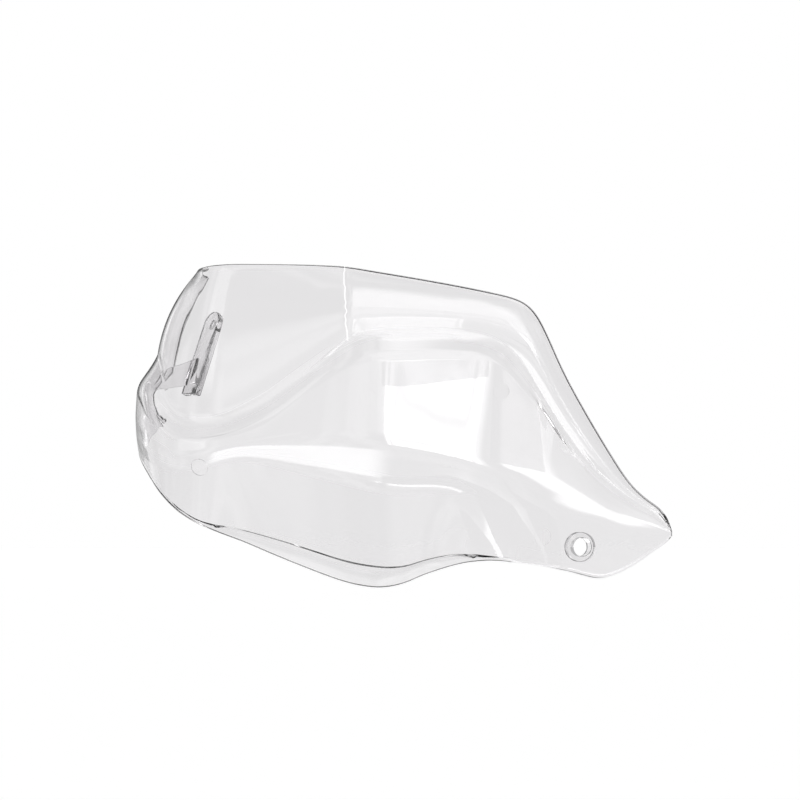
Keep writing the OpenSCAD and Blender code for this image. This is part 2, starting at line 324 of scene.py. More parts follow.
    def __post_init__(self) -> None:
        """Works out the plan sizes that follow from the given ones."""
        self.bend_x = -self.hole_x * self.length
        self.fold_at = self.bend_x + self.fold_x
        self.ridge_at = self.bend_x + self.ridge_x
        self.past = math.degrees(self.wrap / self.bend_r)
        self.turn = 90 - self.inner_slope + self.past
        self.arc = self.bend_r * math.radians(self.turn)
        self.straight_x = self.bend_x + self.bend_r * (1 - math.sin(math.radians(self.inner_slope)))
        self.q_bend = (self.straight_x - self.bend_x) / self.length * 100
        self.q_start = self.q_bend - self.arc / self.length * 100
        self.y_shift = float(self.front_y(np.array(0.0), self.bowl_fold_r))

    def front_y(self, x: np.ndarray, fold_r: float | np.ndarray) -> np.ndarray:
        """Depth of the folded front at x, before the shift to the hole.

        Args:
            x: Places along the row's X.
            fold_r: Radius of the fold there.

        Returns:
            Depths along the row's Y.
        """
        outer = math.tan(math.radians(self.outer_slope))
        inner = math.tan(math.radians(self.inner_slope))
        d = x - self.fold_at
        folded = np.where(np.abs(d) >= fold_r, np.abs(d), (d * d + fold_r * fold_r) / (2 * fold_r))
        turned = (math.tan(math.radians(self.tip_slope)) - outer) * self.ramp(x - self.ridge_at, self.ridge_r)
        return (outer - inner) / 2 * d + (outer + inner) / 2 * folded + turned

    @staticmethod
    def ramp(d: np.ndarray, reach: float) -> np.ndarray:
        """Zero before the start and d after it, with a parabola between.

        Args:
            d: Distances past the middle of the turn.
            reach: Half the length of the turn.

        Returns:
            The ramp's values.
        """
        eased = np.maximum(d + reach, 0) ** 2 / (4 * reach)
        return np.where(d >= reach, d, eased)

    @staticmethod
    def raw_guide(line: Line, q: np.ndarray) -> np.ndarray:
        """Cubic pieces through the points of a guide line.

        Args:
            line: The guide line's points.
            q: Places along it.

        Returns:
            The values there.
        """
        x = np.array([p[0] for p in line], float)
        y = np.array([p[1] for p in line], float)
        low = np.maximum(np.arange(len(x)) - 1, 0)
        high = np.minimum(np.arange(len(x)) + 1, len(x) - 1)
        slope = (y[high] - y[low]) / (x[high] - x[low])
        s = np.clip(q, x[0], x[-1])
        i = np.clip(np.searchsorted(x, s, side="right") - 1, 0, len(x) - 2)
        w = x[i + 1] - x[i]
        t = (s - x[i]) / w
        ends = y[i] * (1 + 2 * t) * (1 - t) ** 2 + y[i + 1] * t * t * (3 - 2 * t)
        return ends + w * (slope[i] * t * (1 - t) ** 2 - slope[i + 1] * t * t * (1 - t))

    def guide(self, line: Line, q: np.ndarray) -> np.ndarray:
        """A guide line with its joints smoothed over a short stretch.

        Args:
            line: The guide line's points.
            q: Places along it.

        Returns:
            The smoothed values there.
        """
        reach = np.minimum(self.ease_reach, 100 - q)
        taps = np.linspace(-1, 1, self.ease_taps)
        weights = 1 - np.abs(taps) * self.ease_fall
        return sum(w * self.raw_guide(line, q + t * reach) for t, w in zip(taps, weights)) / weights.sum()

    def plan(self, q: np.ndarray, fold_r: np.ndarray) -> tuple[np.ndarray, np.ndarray, np.ndarray]:
        """Point and inward direction of the plan line.

        Args:
            q: Places along the developed length, in percent.
            fold_r: Radius of the fold for each place.

        Returns:
            X and Y of the plan line and the inward direction in radians.
        """
        s = (q - self.q_bend) / 100 * self.length
        x = self.straight_x + s
        y = self.front_y(x, fold_r) - self.y_shift
        slope = math.radians(self.inner_slope)
        out = 1.5 * math.pi - slope + s / self.bend_r
        straight_y = float(self.front_y(np.array(self.straight_x), self.bowl_fold_r))
        bend_y = straight_y - self.y_shift + self.bend_r * math.cos(slope)
        x = np.where(s >= 0, x, self.bend_x + self.bend_r + self.bend_r * np.cos(out))
        y = np.where(s >= 0, y, bend_y + self.bend_r * np.sin(out))
        return x, y, np.radians(90 - self.ramp(-s, self.turn_ease) / self.arc * (90 + self.past))

    def height_at(self, line: Line, q: np.ndarray) -> np.ndarray:
        """Height of a guide line over the hole.

        Args:
            line: The guide line's points, in percent of the height.
            q: Places along it.

        Returns:
            Heights along the row's Z.
        """
        return (self.guide(line, q) / 100 - self.hole_z) * self.height

    def corners(self, q: np.ndarray) -> np.ndarray:
        """Corners of the section at each place, before they are rounded.

        Args:
            q: Places along the developed length.

        Returns:
            Depth and height of the seven guide lines, as an array of shape (7, places, 2).
        """
        rim = self.guide(self.rim_back, q) * self.bowl_depth
        foot = self.guide(self.set_back, q) * self.flange_set
        brow_low = self.guide(self.brow_back, q) * self.bowl_depth
        shoulder = self.guide(self.shoulder_back, q) * self.flange_set
        top = foot + self.guide(self.lean_back, q) * self.flange_lean
        rim_z = self.height_at(self.rim_z, q)
        rows = {
            Guide.RIM: (rim + self.guide(self.lip_back, q) * self.lip_depth, rim_z),
            Guide.BEND: (rim, rim_z + self.guide(self.lip_z, q) / 100 * self.height),
            Guide.BROW_LOW: (brow_low, self.height_at(self.brow_low_z, q)),
            Guide.BROW: (np.zeros_like(q), self.height_at(self.brow_z, q)),
            Guide.SHOULDER: (shoulder, self.height_at(self.shoulder_z, q)),
            Guide.FOOT: (foot, self.height_at(self.foot_z, q)),
            Guide.TOP: (top, self.height_at(self.top_z, q)),
        }
        return np.array([np.stack(rows[g], axis=-1) for g in Guide])

    def row_plan(self) -> list[tuple[float, int, float]]:
        """Lists the rows of the section.

        Returns:
            For each row: its place among the guide lines, the corner or side it is on, and its share along
            it. A corner is given as its number and a side as minus the number of the corner below it.
        """
        half, foot = self.round_half, Guide.FOOT.value
        rows = [(0.0, 0, 0.0)]
        for corner in range(1, foot + 1):
            for i in range(self.arc_steps + 1):
                share = i / self.arc_steps
                rows.append((corner + 2 * half * (share - 0.5), corner, share))
            if corner < foot:
                for i in range(1, self.side_steps + 1):
                    share = i / (self.side_steps + 1)
                    rows.append((corner + half + (1 - 2 * half) * share, -corner, share))
        for i in range(1, self.flange_steps + 1):
            rows.append((foot + half + (1 - half) * i / self.flange_steps, -foot, i / self.flange_steps))
        return rows

    def arc_point(self, c: np.ndarray, corner: int, share: float) -> np.ndarray:
        """A point of the parabola that rounds a corner of the section.

        Args:
            c: Corners of the section.
            corner: Which corner.
            share: How far along the parabola.

        Returns:
            Depth and height at each place.
        """
        before = c[corner - 1] - c[corner]
        after = c[corner + 1] - c[corner]
        a = np.linalg.norm(before, axis=-1, keepdims=True)
        b = np.linalg.norm(after, axis=-1, keepdims=True)
        reach = self.softness[corner - 1] * np.minimum(a, b)
        start = c[corner] + before / a * reach
        end = c[corner] + after / b * reach
        return start * (1 - share) ** 2 + c[corner] * 2 * share * (1 - share) + end * share**2

    def outer_grid(self) -> np.ndarray:
        """Points of the outer face.

        Returns:
            An array of shape (columns, rows, 3).
        """
        shares = self.column_shares()
        flange = -Guide.FOOT.value
        grid = []
        for line, where, share in self.row_plan():
            reach = self.raw_guide(self.end_reach, np.array([line]))[0]
            q_first = self.q_start + (1 - reach) * self.wrap / self.length * 100
            q = q_first + shares * (100 - q_first)
            c = self.corners(q)
            if line == 0:
                point = c[0]
            elif where > 0:
                point = self.arc_point(c, where, share)
            else:
                low = self.arc_point(c, -where, 1.0)
                high = c[Guide.TOP.value] if where == flange else self.arc_point(c, 1 - where, 0.0)
                side = high - low
                span = np.linalg.norm(side, axis=-1, keepdims=True)
                point = low + side * share
                if where == flange:
                    out = np.stack([-side[:, 1], side[:, 0]], axis=-1) / span
                    full = np.minimum(1, span / self.crown_span)
                    point = point + out * self.flange_crown * 4 * share * (1 - share) * full
            soft = np.clip((line - Guide.FOOT.value) / self.round_half, 0, 1)
            fold_r = self.bowl_fold_r + (self.flange_fold_r - self.bowl_fold_r) * soft
            x, y, face = self.plan(q, np.full_like(q, fold_r))
            x = x + point[:, 0] * np.cos(face)
            y = y + point[:, 0] * np.sin(face)
            grid.append(np.stack([x, y, point[:, 1]], axis=-1))
        return np.stack(grid, axis=1)

    def column_shares(self) -> np.ndarray:
        """Shares of the length at which the columns stand, closer at the ends, the fold and the neck.

        Returns:
            Shares from 0 at the free edge to 1 at the tip.
        """
        fine = np.linspace(0, 1, self.column_samples)
        density = np.ones_like(fine)
        for centre, spread, extra in self.column_crowds:
            density += extra * np.exp(-(((fine - centre) / spread) ** 2))
        filled = np.concatenate([[0], np.cumsum((density[1:] + density[:-1]) / 2)])
        return np.interp(np.linspace(0, filled[-1], self.columns), filled, fine)


def face_normals(grid: np.ndarray) -> np.ndarray:
    """Unit normals of a grid, pointing into the hand space.

    Args:
        grid: Points of shape (columns, rows, 3).

    Returns:
        Normals of the same shape.
    """
    along = np.gradient(grid, axis=0)
    up = np.gradient(grid, axis=1)
    normal = np.cross(up, along)
    return normal / np.maximum(np.linalg.norm(normal, axis=-1, keepdims=True), TINY)


def cell_normals(grid: np.ndarray) -> np.ndarray:
    """Unit normals of the cells of a grid.

    Args:
        grid: Points of shape (columns, rows, 3).

    Returns:
        Normals of shape (columns - 1, rows - 1, 3).
    """
    across = np.cross(grid[:-1, 1:] - grid[1:, :-1], grid[1:, 1:] - grid[:-1, :-1])
    return across / np.maximum(np.linalg.norm(across, axis=-1, keepdims=True), TINY)


def averaged(grid: np.ndarray) -> np.ndarray:
    """Averages each value of a grid with its neighbours along both ways.

    Args:
        grid: Values of shape (columns, rows, n).

    Returns:
        Values of the same shape.
    """
    for axis in (0, 1):
        before = np.roll(grid, 1, axis)
        after = np.roll(grid, -1, axis)
        edge = [slice(None)] * 3
        edge[axis] = 0
        before[tuple(edge)] = grid[tuple(edge)]
        edge[axis] = -1
        after[tuple(edge)] = grid[tuple(edge)]
        grid = (before + 2 * grid + after) / 4
    return grid


def smoothed(normals: np.ndarray, passes: int) -> np.ndarray:
    """Evens normals out along both ways of the grid, so that the inner face turns gently in a tight corner.

    Args:
        normals: Unit normals of shape (columns, rows, 3).
        passes: How many times each is averaged with its neighbours.

    Returns:
        Unit normals of the same shape.
    """
    for _ in range(passes):
        normals = averaged(normals)
        normals = normals / np.maximum(np.linalg.norm(normals, axis=-1, keepdims=True), TINY)
    return normals


def mesh_object(name: str, points: np.ndarray, faces: list, material: bpy.types.Material) -> bpy.types.Object:
    """Makes an object in the scene from points in millimetres.

    Args:
        name: Name of the object and its mesh.
        points: Points of shape (n, 3).
        faces: Tuples of point numbers.
        material: Material of every face.

    Returns:
        The new object, at the origin.
    """
    mesh = bpy.data.meshes.new(name)
    mesh.from_pydata((points * MM).tolist(), [], faces)
    mesh.materials.append(material)
    made = bpy.data.objects.new(name, mesh)
    bpy.context.scene.collection.objects.link(made)
    return made


def prism(
    name: str, outline: list[tuple[float, float]], low: float, high: float, place: Matrix,
    material: bpy.types.Material, edge: float = 0.0,
) -> bpy.types.Object:
    """Extrudes an outline and puts it in place, in millimetres.

    Args:
        name: Name of the object and its mesh.
        outline: Points of the outline in its own X and Y.
        low: Where the solid starts along its own Z.
        high: Where it ends.
        place: Its place in the row frame.
        material: Material of every face.
        edge: Radius of its rounded edges.

    Returns:
        The new object, at the origin.
    """
    form = bmesh.new()
    base = form.faces.new([form.verts.new((x, y, low)) for x, y in outline])
    lifted = bmesh.ops.extrude_face_region(form, geom=[base])["geom"]
    tops = [part for part in lifted if isinstance(part, bmesh.types.BMVert)]
    bmesh.ops.translate(form, verts=tops, vec=(0, 0, high - low))
    bmesh.ops.recalc_face_normals(form, faces=form.faces)
    if edge > 0:
        corners = [e for e in form.edges if e.calc_face_angle(0) > BEVEL_ANGLE]
        bmesh.ops.bevel(form, geom=corners, offset=edge, segments=BEVEL_STEPS, profile=0.5, affect="EDGES")
    bmesh.ops.transform(form, matrix=Matrix.Scale(MM, 4) @ place, verts=form.verts)
    mesh = bpy.data.meshes.new(name)
    form.to_mesh(mesh)
    form.free()
    mesh.materials.append(material)
    made = bpy.data.objects.new(name, mesh)
    bpy.context.scene.collection.objects.link(made)
    return made


def circle(diameter: float, sides: int = 96) -> list[tuple[float, float]]:
    """Outline of a circle.

    Args:
        diameter: Its diameter.
        sides: How many points it has.

    Returns:
        The points, anticlockwise.
    """
    turns = [2 * math.pi * i / sides for i in range(sides)]
    return [(diameter / 2 * math.cos(t), diameter / 2 * math.sin(t)) for t in turns]


def combine(base: bpy.types.Object, tools: list[bpy.types.Object], operation: str) -> None:
    """Joins solids to an object, or cuts them out of it, and removes them.

    Args:
        base: The object that is changed.
        tools: The solids.
        operation: UNION or DIFFERENCE.
    """
    group = bpy.data.collections.new("tools")
    bpy.context.scene.collection.children.link(group)
    for tool in tools:
        group.objects.link(tool)
    step = base.modifiers.new(operation.lower(), "BOOLEAN")
    step.operation = operation
    step.solver = "MANIFOLD"
    step.operand_type = "COLLECTION"
    step.collection = group
    result = bpy.data.meshes.new_from_object(base.evaluated_get(bpy.context.evaluated_depsgraph_get()))
    base.modifiers.clear()
    result.name = base.data.name
    base.data = result
    for tool in tools:
        bpy.data.objects.remove(tool)
    bpy.data.collections.remove(group)


@dataclass
class BarEndBoss:
    """The bored boss behind the bar-end hole."""

    hole_d: float = 10.4
    boss_d: float = 16.0
    boss_l: float = 8.0
    edge: float = 0.5

    def solids(
        self, form: ShellForm, material: bpy.types.Material,
    ) -> tuple[list[bpy.types.Object], list[bpy.types.Object]]:
        """Makes the boss and the cutter of its bore.

        Args:
            form: The form of the moulding.
            material: Its material.

        Returns:
            What is joined to the skin and what is cut from it.
        """
        turned = Matrix.Rotation(math.radians(form.tip_slope), 4, "Z")
        place = turned @ Matrix.Rotation(math.radians(-90), 4, "X")
        boss = prism("boss", circle(self.boss_d), form.wall / 2, self.boss_l, place, material, self.edge)
        bore = prism("bore", circle(self.hole_d), -form.wall, self.boss_l + form.wall, place, material)
        return [boss], [bore]


@dataclass
class InboardTab:
    """The fixing tab inside the inboard wrap, on its web."""

    length: float = 34.0
    width: float = 14.0
    thick: float = 3.5
    web_reach: float = 31.0
    web_rise: float = 4.0
    web_h: float = 14.0
    inset: float = 25.0
    facing: float = 37.0
    lean: float = 21.0
    hole_d: float = 6.4
    root_depth: float = 0.6
    edge: float = 0.6
    round_steps: int = 32

    def solids(
        self, form: ShellForm, material: bpy.types.Material,
    ) -> tuple[list[bpy.types.Object], list[bpy.types.Object]]:
        """Makes the tab, its web and the cutter of its hole.

        Args:
            form: The form of the moulding.
            material: Its material.

        Returns:
            What is joined to the skin and what is cut from it.
        """
        q = np.array([form.q_start + self.inset / form.length * 100])
        corners = form.corners(q)[:, 0]
        shoulder, foot = corners[Guide.SHOULDER.value], corners[Guide.FOOT.value]
        x, y, face = (float(part[0]) for part in form.plan(q, np.array([form.bowl_fold_r])))
        root = Vector((x + shoulder[0] * math.cos(face), y + shoulder[0] * math.sin(face), shoulder[1]))
        inward = Matrix.Translation(root) @ Matrix.Rotation(face, 4, "Z")
        plate = (
            inward @ Matrix.Translation((self.web_reach, 0, self.web_rise + self.web_h / 2))
            @ Matrix.Rotation(math.radians(self.facing) - face, 4, "Z")
            @ Matrix.Rotation(math.radians(self.lean), 4, "Y")
            @ Matrix.Rotation(math.radians(90), 4, "Z") @ Matrix.Rotation(math.radians(90), 4, "X")
        )
        half, straight = self.width / 2, self.length - self.width / 2
        turns = [math.pi * i / self.round_steps for i in range(self.round_steps + 1)]
        outline = [(-half, -self.web_h), (half, -self.web_h)]
        outline += [(half * math.cos(t), straight + half * math.sin(t)) for t in turns]
        depth = form.wall * self.root_depth
        side = [(depth, 0.0), (self.web_reach, self.web_rise), (self.web_reach, self.web_rise + self.web_h),
                (float(foot[0] - shoulder[0]) + depth, float(foot[1] - shoulder[1]))]
        upright = inward @ Matrix.Rotation(math.radians(90), 4, "X")
        tab = prism("tab", outline, -self.thick / 2, self.thick / 2, plate, material, self.edge)
        web = prism("web", side, -self.thick / 2, self.thick / 2, upright, material)
        drill = plate @ Matrix.Translation((0, straight, 0))
        hole = prism("tab_hole", circle(self.hole_d), -self.thick, self.thick, drill, material)
        return [tab, web], [hole]


@dataclass
class EjectorPins:
    """Shallow round marks that the ejector pins of the mould leave on the inner face."""

    diameter: float = 9.0
    depth: float = 0.18
    length: float = 3.0
    sides: int = 64
    places: tuple[tuple[float, float], ...] = ((-208.9, 38.9), (-40.5, 84.1), (-19.7, 5.9), (-113.2, 82.2))

    def tree(self) -> bpy.types.NodeTree:
        """Builds the Geometry Nodes tree that stands a pin on each point.

        Returns:
            The tree, with named inputs for the sizes and the material.
        """
        tree = bpy.data.node_groups.new("ejector_pins", "GeometryNodeTree")
        face = tree.interface
        face.new_socket("Geometry", in_out="INPUT", socket_type="NodeSocketGeometry")
        for label in ("Diameter", "Depth", "Length"):
            face.new_socket(label, in_out="INPUT", socket_type="NodeSocketFloat")
        face.new_socket("Sides", in_out="INPUT", socket_type="NodeSocketInt")
        face.new_socket("Material", in_out="INPUT", socket_type="NodeSocketMaterial")
        face.new_socket("Geometry", in_out="OUTPUT", socket_type="NodeSocketGeometry")
        given = add_node(tree, "NodeGroupInput").outputs
        radius = add_node(tree, "ShaderNodeMath", {0: given["Diameter"], 1: 0.5}, operation="MULTIPLY")
        pin = add_node(
            tree, "GeometryNodeMeshCylinder",
            {"Vertices": given["Sides"], "Radius": radius.outputs[0], "Depth": given["Length"]},
        )
        half = add_node(tree, "ShaderNodeMath", {0: given["Length"], 1: 0.5}, operation="MULTIPLY")
        lift = add_node(tree, "ShaderNodeMath", {0: half.outputs[0], 1: given["Depth"]}, operation="SUBTRACT")
        up = add_node(tree, "ShaderNodeCombineXYZ", {"Z": lift.outputs[0]})
        raised = add_node(
            tree, "GeometryNodeTransform", {"Geometry": pin.outputs["Mesh"], "Translation": up.outputs[0]},
        )
        normal = add_node(
            tree, "GeometryNodeInputNamedAttribute", {"Name": "pin_normal"}, data_type="FLOAT_VECTOR",
        )
        turn = add_node(
            tree, "FunctionNodeAlignRotationToVector", {"Vector": normal.outputs["Attribute"]}, axis="Z",
        )
        stood = add_node(
            tree, "GeometryNodeInstanceOnPoints",
            {"Points": given["Geometry"], "Instance": raised.outputs["Geometry"],
             "Rotation": turn.outputs[0]},
        )
        real = add_node(tree, "GeometryNodeRealizeInstances", {"Geometry": stood.outputs["Instances"]})
        dressed = add_node(
            tree, "GeometryNodeSetMaterial",
            {"Geometry": real.outputs["Geometry"], "Material": given["Material"]},
        )
        add_node(tree, "NodeGroupOutput", {"Geometry": dressed.outputs["Geometry"]})
        return tree

    def cutter(
        self, inner: np.ndarray, normals: np.ndarray, material: bpy.types.Material,
    ) -> bpy.types.Object:
        """Makes all the pins as one plain mesh, each on the front wall's inner face.

        Args:
            inner: Points of the inner face, of shape (n, 3).
            normals: Normals there, pointing into the hand space.
            material: The shell's material.

        Returns:
            The pins' object.
        """
        seats = []
        for x, z in self.places:
            away = np.hypot(inner[:, 0] - x, inner[:, 2] - z)
            near = np.flatnonzero(away < away.min() + self.diameter / 4)
            seats.append(near[np.argmin(inner[near, 1])])
        mesh = bpy.data.meshes.new("pins")
        mesh.from_pydata((inner[seats] * MM).tolist(), [], [])
        facing = mesh.attributes.new("pin_normal", "FLOAT_VECTOR", "POINT")
        facing.data.foreach_set("vector", normals[seats].astype(np.float32).ravel())
        pins = bpy.data.objects.new("pins", mesh)
        bpy.context.scene.collection.objects.link(pins)
        tree = self.tree()
        sockets = {i.name: i.identifier for i in tree.interface.items_tree if i.in_out == "INPUT"}
        nodes = pins.modifiers.new("pins", "NODES")
        nodes.node_group = tree
        nodes[sockets["Diameter"]] = self.diameter * MM
        nodes[sockets["Depth"]] = self.depth * MM
        nodes[sockets["Length"]] = self.length * MM
        nodes[sockets["Sides"]] = self.sides
        nodes[sockets["Material"]] = material
        plain = bpy.data.meshes.new_from_object(pins.evaluated_get(bpy.context.evaluated_depsgraph_get()))
        pins.modifiers.clear()
        pins.data = plain
        return pins


@dataclass
class GuardShell:
    """The moulding: skin, boss, inboard tab, their holes and the pin marks."""

    form: ShellForm = field(default_factory=ShellForm)
    finish: ClearPolycarbonate = field(default_factory=ClearPolycarbonate)
    boss: BarEndBoss = field(default_factory=BarEndBoss)
    tab: InboardTab = field(default_factory=InboardTab)
    pins: EjectorPins = field(default_factory=EjectorPins)
    normal_passes: int = 6
    edge_steps: int = 6
    edge_bulge: float = 0.4
    edge_squareness: float = 0.5
    sharp_degrees: float = 40.0
    corner_depth: float = 0.6
    corner_reach: float = 0.12
    corner_middle_x: float = -132.0
    corner_half: float = 78.0
    corner_fade: float = 20.0
    thin_passes: int = 10
    thin_share: float = 0.9
    fold_limit: float = 0.1

    @staticmethod
    def border(columns: int, rows: int) -> list[int]:
        """Lists the point numbers round the free edge of the grid.

        Args:
            columns: Columns of the grid.
            rows: Rows of the grid.

        Returns:
            The numbers, once round.
        """
        loop = [c * rows for c in range(columns)]
        loop += [(columns - 1) * rows + v for v in range(1, rows)]
        loop += [c * rows + rows - 1 for c in range(columns - 2, -1, -1)]
        loop += [v for v in range(rows - 2, 0, -1)]
        return loop

    def edge_points(self, outer: np.ndarray, inner: np.ndarray, loop: list[int]) -> np.ndarray:
        """Points of the moulded edge between the two faces, square with rounded corners.

        Args:
            outer: Grid of the outer face.
            inner: Grid of the inner face.
            loop: Point numbers round the free edge.

        Returns:
            An array of shape (steps - 1, points of the loop, 3).
        """
        away = np.zeros_like(outer)
        along, up = np.gradient(outer, axis=0), np.gradient(outer, axis=1)
        along /= np.maximum(np.linalg.norm(along, axis=-1, keepdims=True), TINY)
        up /= np.maximum(np.linalg.norm(up, axis=-1, keepdims=True), TINY)
        away[0] -= along[0]
        away[-1] += along[-1]
        away[:, 0] -= up[:, 0]
        away[:, -1] += up[:, -1]
        way = away.reshape(-1, 3)[loop]
        way /= np.maximum(np.linalg.norm(way, axis=-1, keepdims=True), TINY)
        low, high = outer.reshape(-1, 3)[loop], inner.reshape(-1, 3)[loop]
        strips = []
        for i in range(1, self.edge_steps):
            turn = math.pi * i / self.edge_steps
            across = (1 - math.copysign(abs(math.cos(turn)) ** self.edge_squareness, math.cos(turn))) / 2
            curve = math.sin(turn) ** self.edge_squareness
            strips.append(low + (high - low) * across + way * self.edge_bulge * curve)
        return np.array(strips)

    def thinning(self, outer: np.ndarray, normals: np.ndarray) -> np.ndarray:
        """Share of the wall that is kept where a tight corner would fold the inner face over itself.

        Args:
            outer: Grid of the outer face.
            normals: Normals of the grid, pointing inward.

        Returns:
            Shares up to 1, as an array of shape (columns, rows, 1).
        """
        kept = np.ones_like(outer[..., :1])
        way = cell_normals(outer)
        for _ in range(self.thin_passes):
            inner = outer + normals * self.form.wall * kept
            folded = (cell_normals(inner) * way).sum(axis=-1) < self.fold_limit
            near = np.pad(folded, ((0, 1), (0, 1))) | np.pad(folded, ((1, 0), (0, 1)))
            near |= np.pad(folded, ((0, 1), (1, 0))) | np.pad(folded, ((1, 0), (1, 0)))
            kept = np.minimum(kept, averaged(np.where(near[..., None], kept * self.thin_share, kept)))
        return kept

    def wall_at(self, outer: np.ndarray) -> np.ndarray:
        """Thickness of the wall, with the sharp inside corner that the tool leaves along the lip's fold.

        Args:
            outer: Grid of the outer face.

        Returns:
            The thickness at each point, as an array of shape (columns, rows, 1).
        """
        lines = np.array([line for line, _, _ in self.form.row_plan()])
        corner = np.clip(1 - np.abs(lines - Guide.BEND.value) / self.corner_reach, 0, 1)
        middle, half = self.corner_middle_x, self.corner_half
        along = np.clip((half - np.abs(outer[..., 0] - middle)) / self.corner_fade, 0, 1)
        return (self.form.wall - self.corner_depth * corner[None, :] * along)[..., None]

    def skin(self, outer: np.ndarray, normals: np.ndarray, material: bpy.types.Material) -> bpy.types.Object:
        """Builds the skin as one closed mesh.

        Args:
            outer: Grid of the outer face.
            normals: Normals of the grid, pointing inward.
            material: The shell's material.

        Returns:
            The skin's object.
        """
        inner = outer + normals * self.wall_at(outer) * self.thinning(outer, normals)
        columns, rows = outer.shape[:2]
        count = columns * rows
        faces = []
        for c in range(columns - 1):
            for v in range(rows - 1):
                a = c * rows + v
                faces.append((a, a + rows, a + rows + 1, a + 1))
                faces.append((a + count, a + 1 + count, a + rows + 1 + count, a + rows + count))
        loop = self.border(columns, rows)
        strips = self.edge_points(outer, inner, loop)
        round_it = len(loop)
        lines = [loop]
        lines += [[2 * count + k * round_it + i for i in range(round_it)] for k in range(len(strips))]
        lines.append([a + count for a in loop])
        for near, far in zip(lines, lines[1:]):
            for i in range(round_it):
                j = (i + 1) % round_it
                faces.append((near[j], near[i], far[i], far[j]))
        points = np.concatenate([outer.reshape(-1, 3), inner.reshape(-1, 3), strips.reshape(-1, 3)])
        return mesh_object("guard_shell", points, faces, material)

    def build(self) -> bpy.types.Object:
        """Builds the whole moulding as one closed mesh.

        Returns:
            The shell's object.
        """
        material = self.finish.build()
        outer = self.form.outer_grid()
        normals = smoothed(face_normals(outer), self.normal_passes)
        shell = self.skin(outer, normals, material)
        LOG.info("skin: %d faces", len(shell.data.polygons))
        joined, cut = [], []
        for piece in (self.boss, self.tab):
            solids, cutters = piece.solids(self.form, material)
            joined += solids
            cut += cutters
            LOG.info("%s: %d joined, %d cut", type(piece).__name__, len(solids), len(cutters))
        inner = (outer + normals * self.form.wall).reshape(-1, 3)
        pins = self.pins.cutter(inner, normals.reshape(-1, 3), material)
        LOG.info("ejector pins: %d faces", len(pins.data.polygons))
        combine(shell, joined, "UNION")
        combine(shell, cut + [pins], "DIFFERENCE")
        mesh = shell.data
        mesh.polygons.foreach_set("use_smooth", [True] * len(mesh.polygons))
        mesh.set_sharp_from_angle(angle=math.radians(self.sharp_degrees))
        LOG.info("guard_shell: %d faces", len(mesh.polygons))
        return shell


@dataclass(frozen=True)
class Panel:
    """A soft-edged light panel of the studio, by its direction from the guard in degrees."""

    name: str
    azimuth: float
    height: float
    width: float
    tall: float
    glow: float
    side_soft: float
    end_soft: float


@dataclass(frozen=True)
class Card:
    """A card that keeps the light of a panel off a part of the guard. Sizes in millimetres."""

    name: str
    x: float
    y: float
    z: float
    width: float
    tall: float
    level: float


@dataclass(frozen=True)
class Softbox:
    """A rectangular lamp that faces the guard, by its direction from it in degrees. White is a glow of 1."""

    name: str
    azimuth: float
    height: float
    width: float
    tall: float
    glow: float


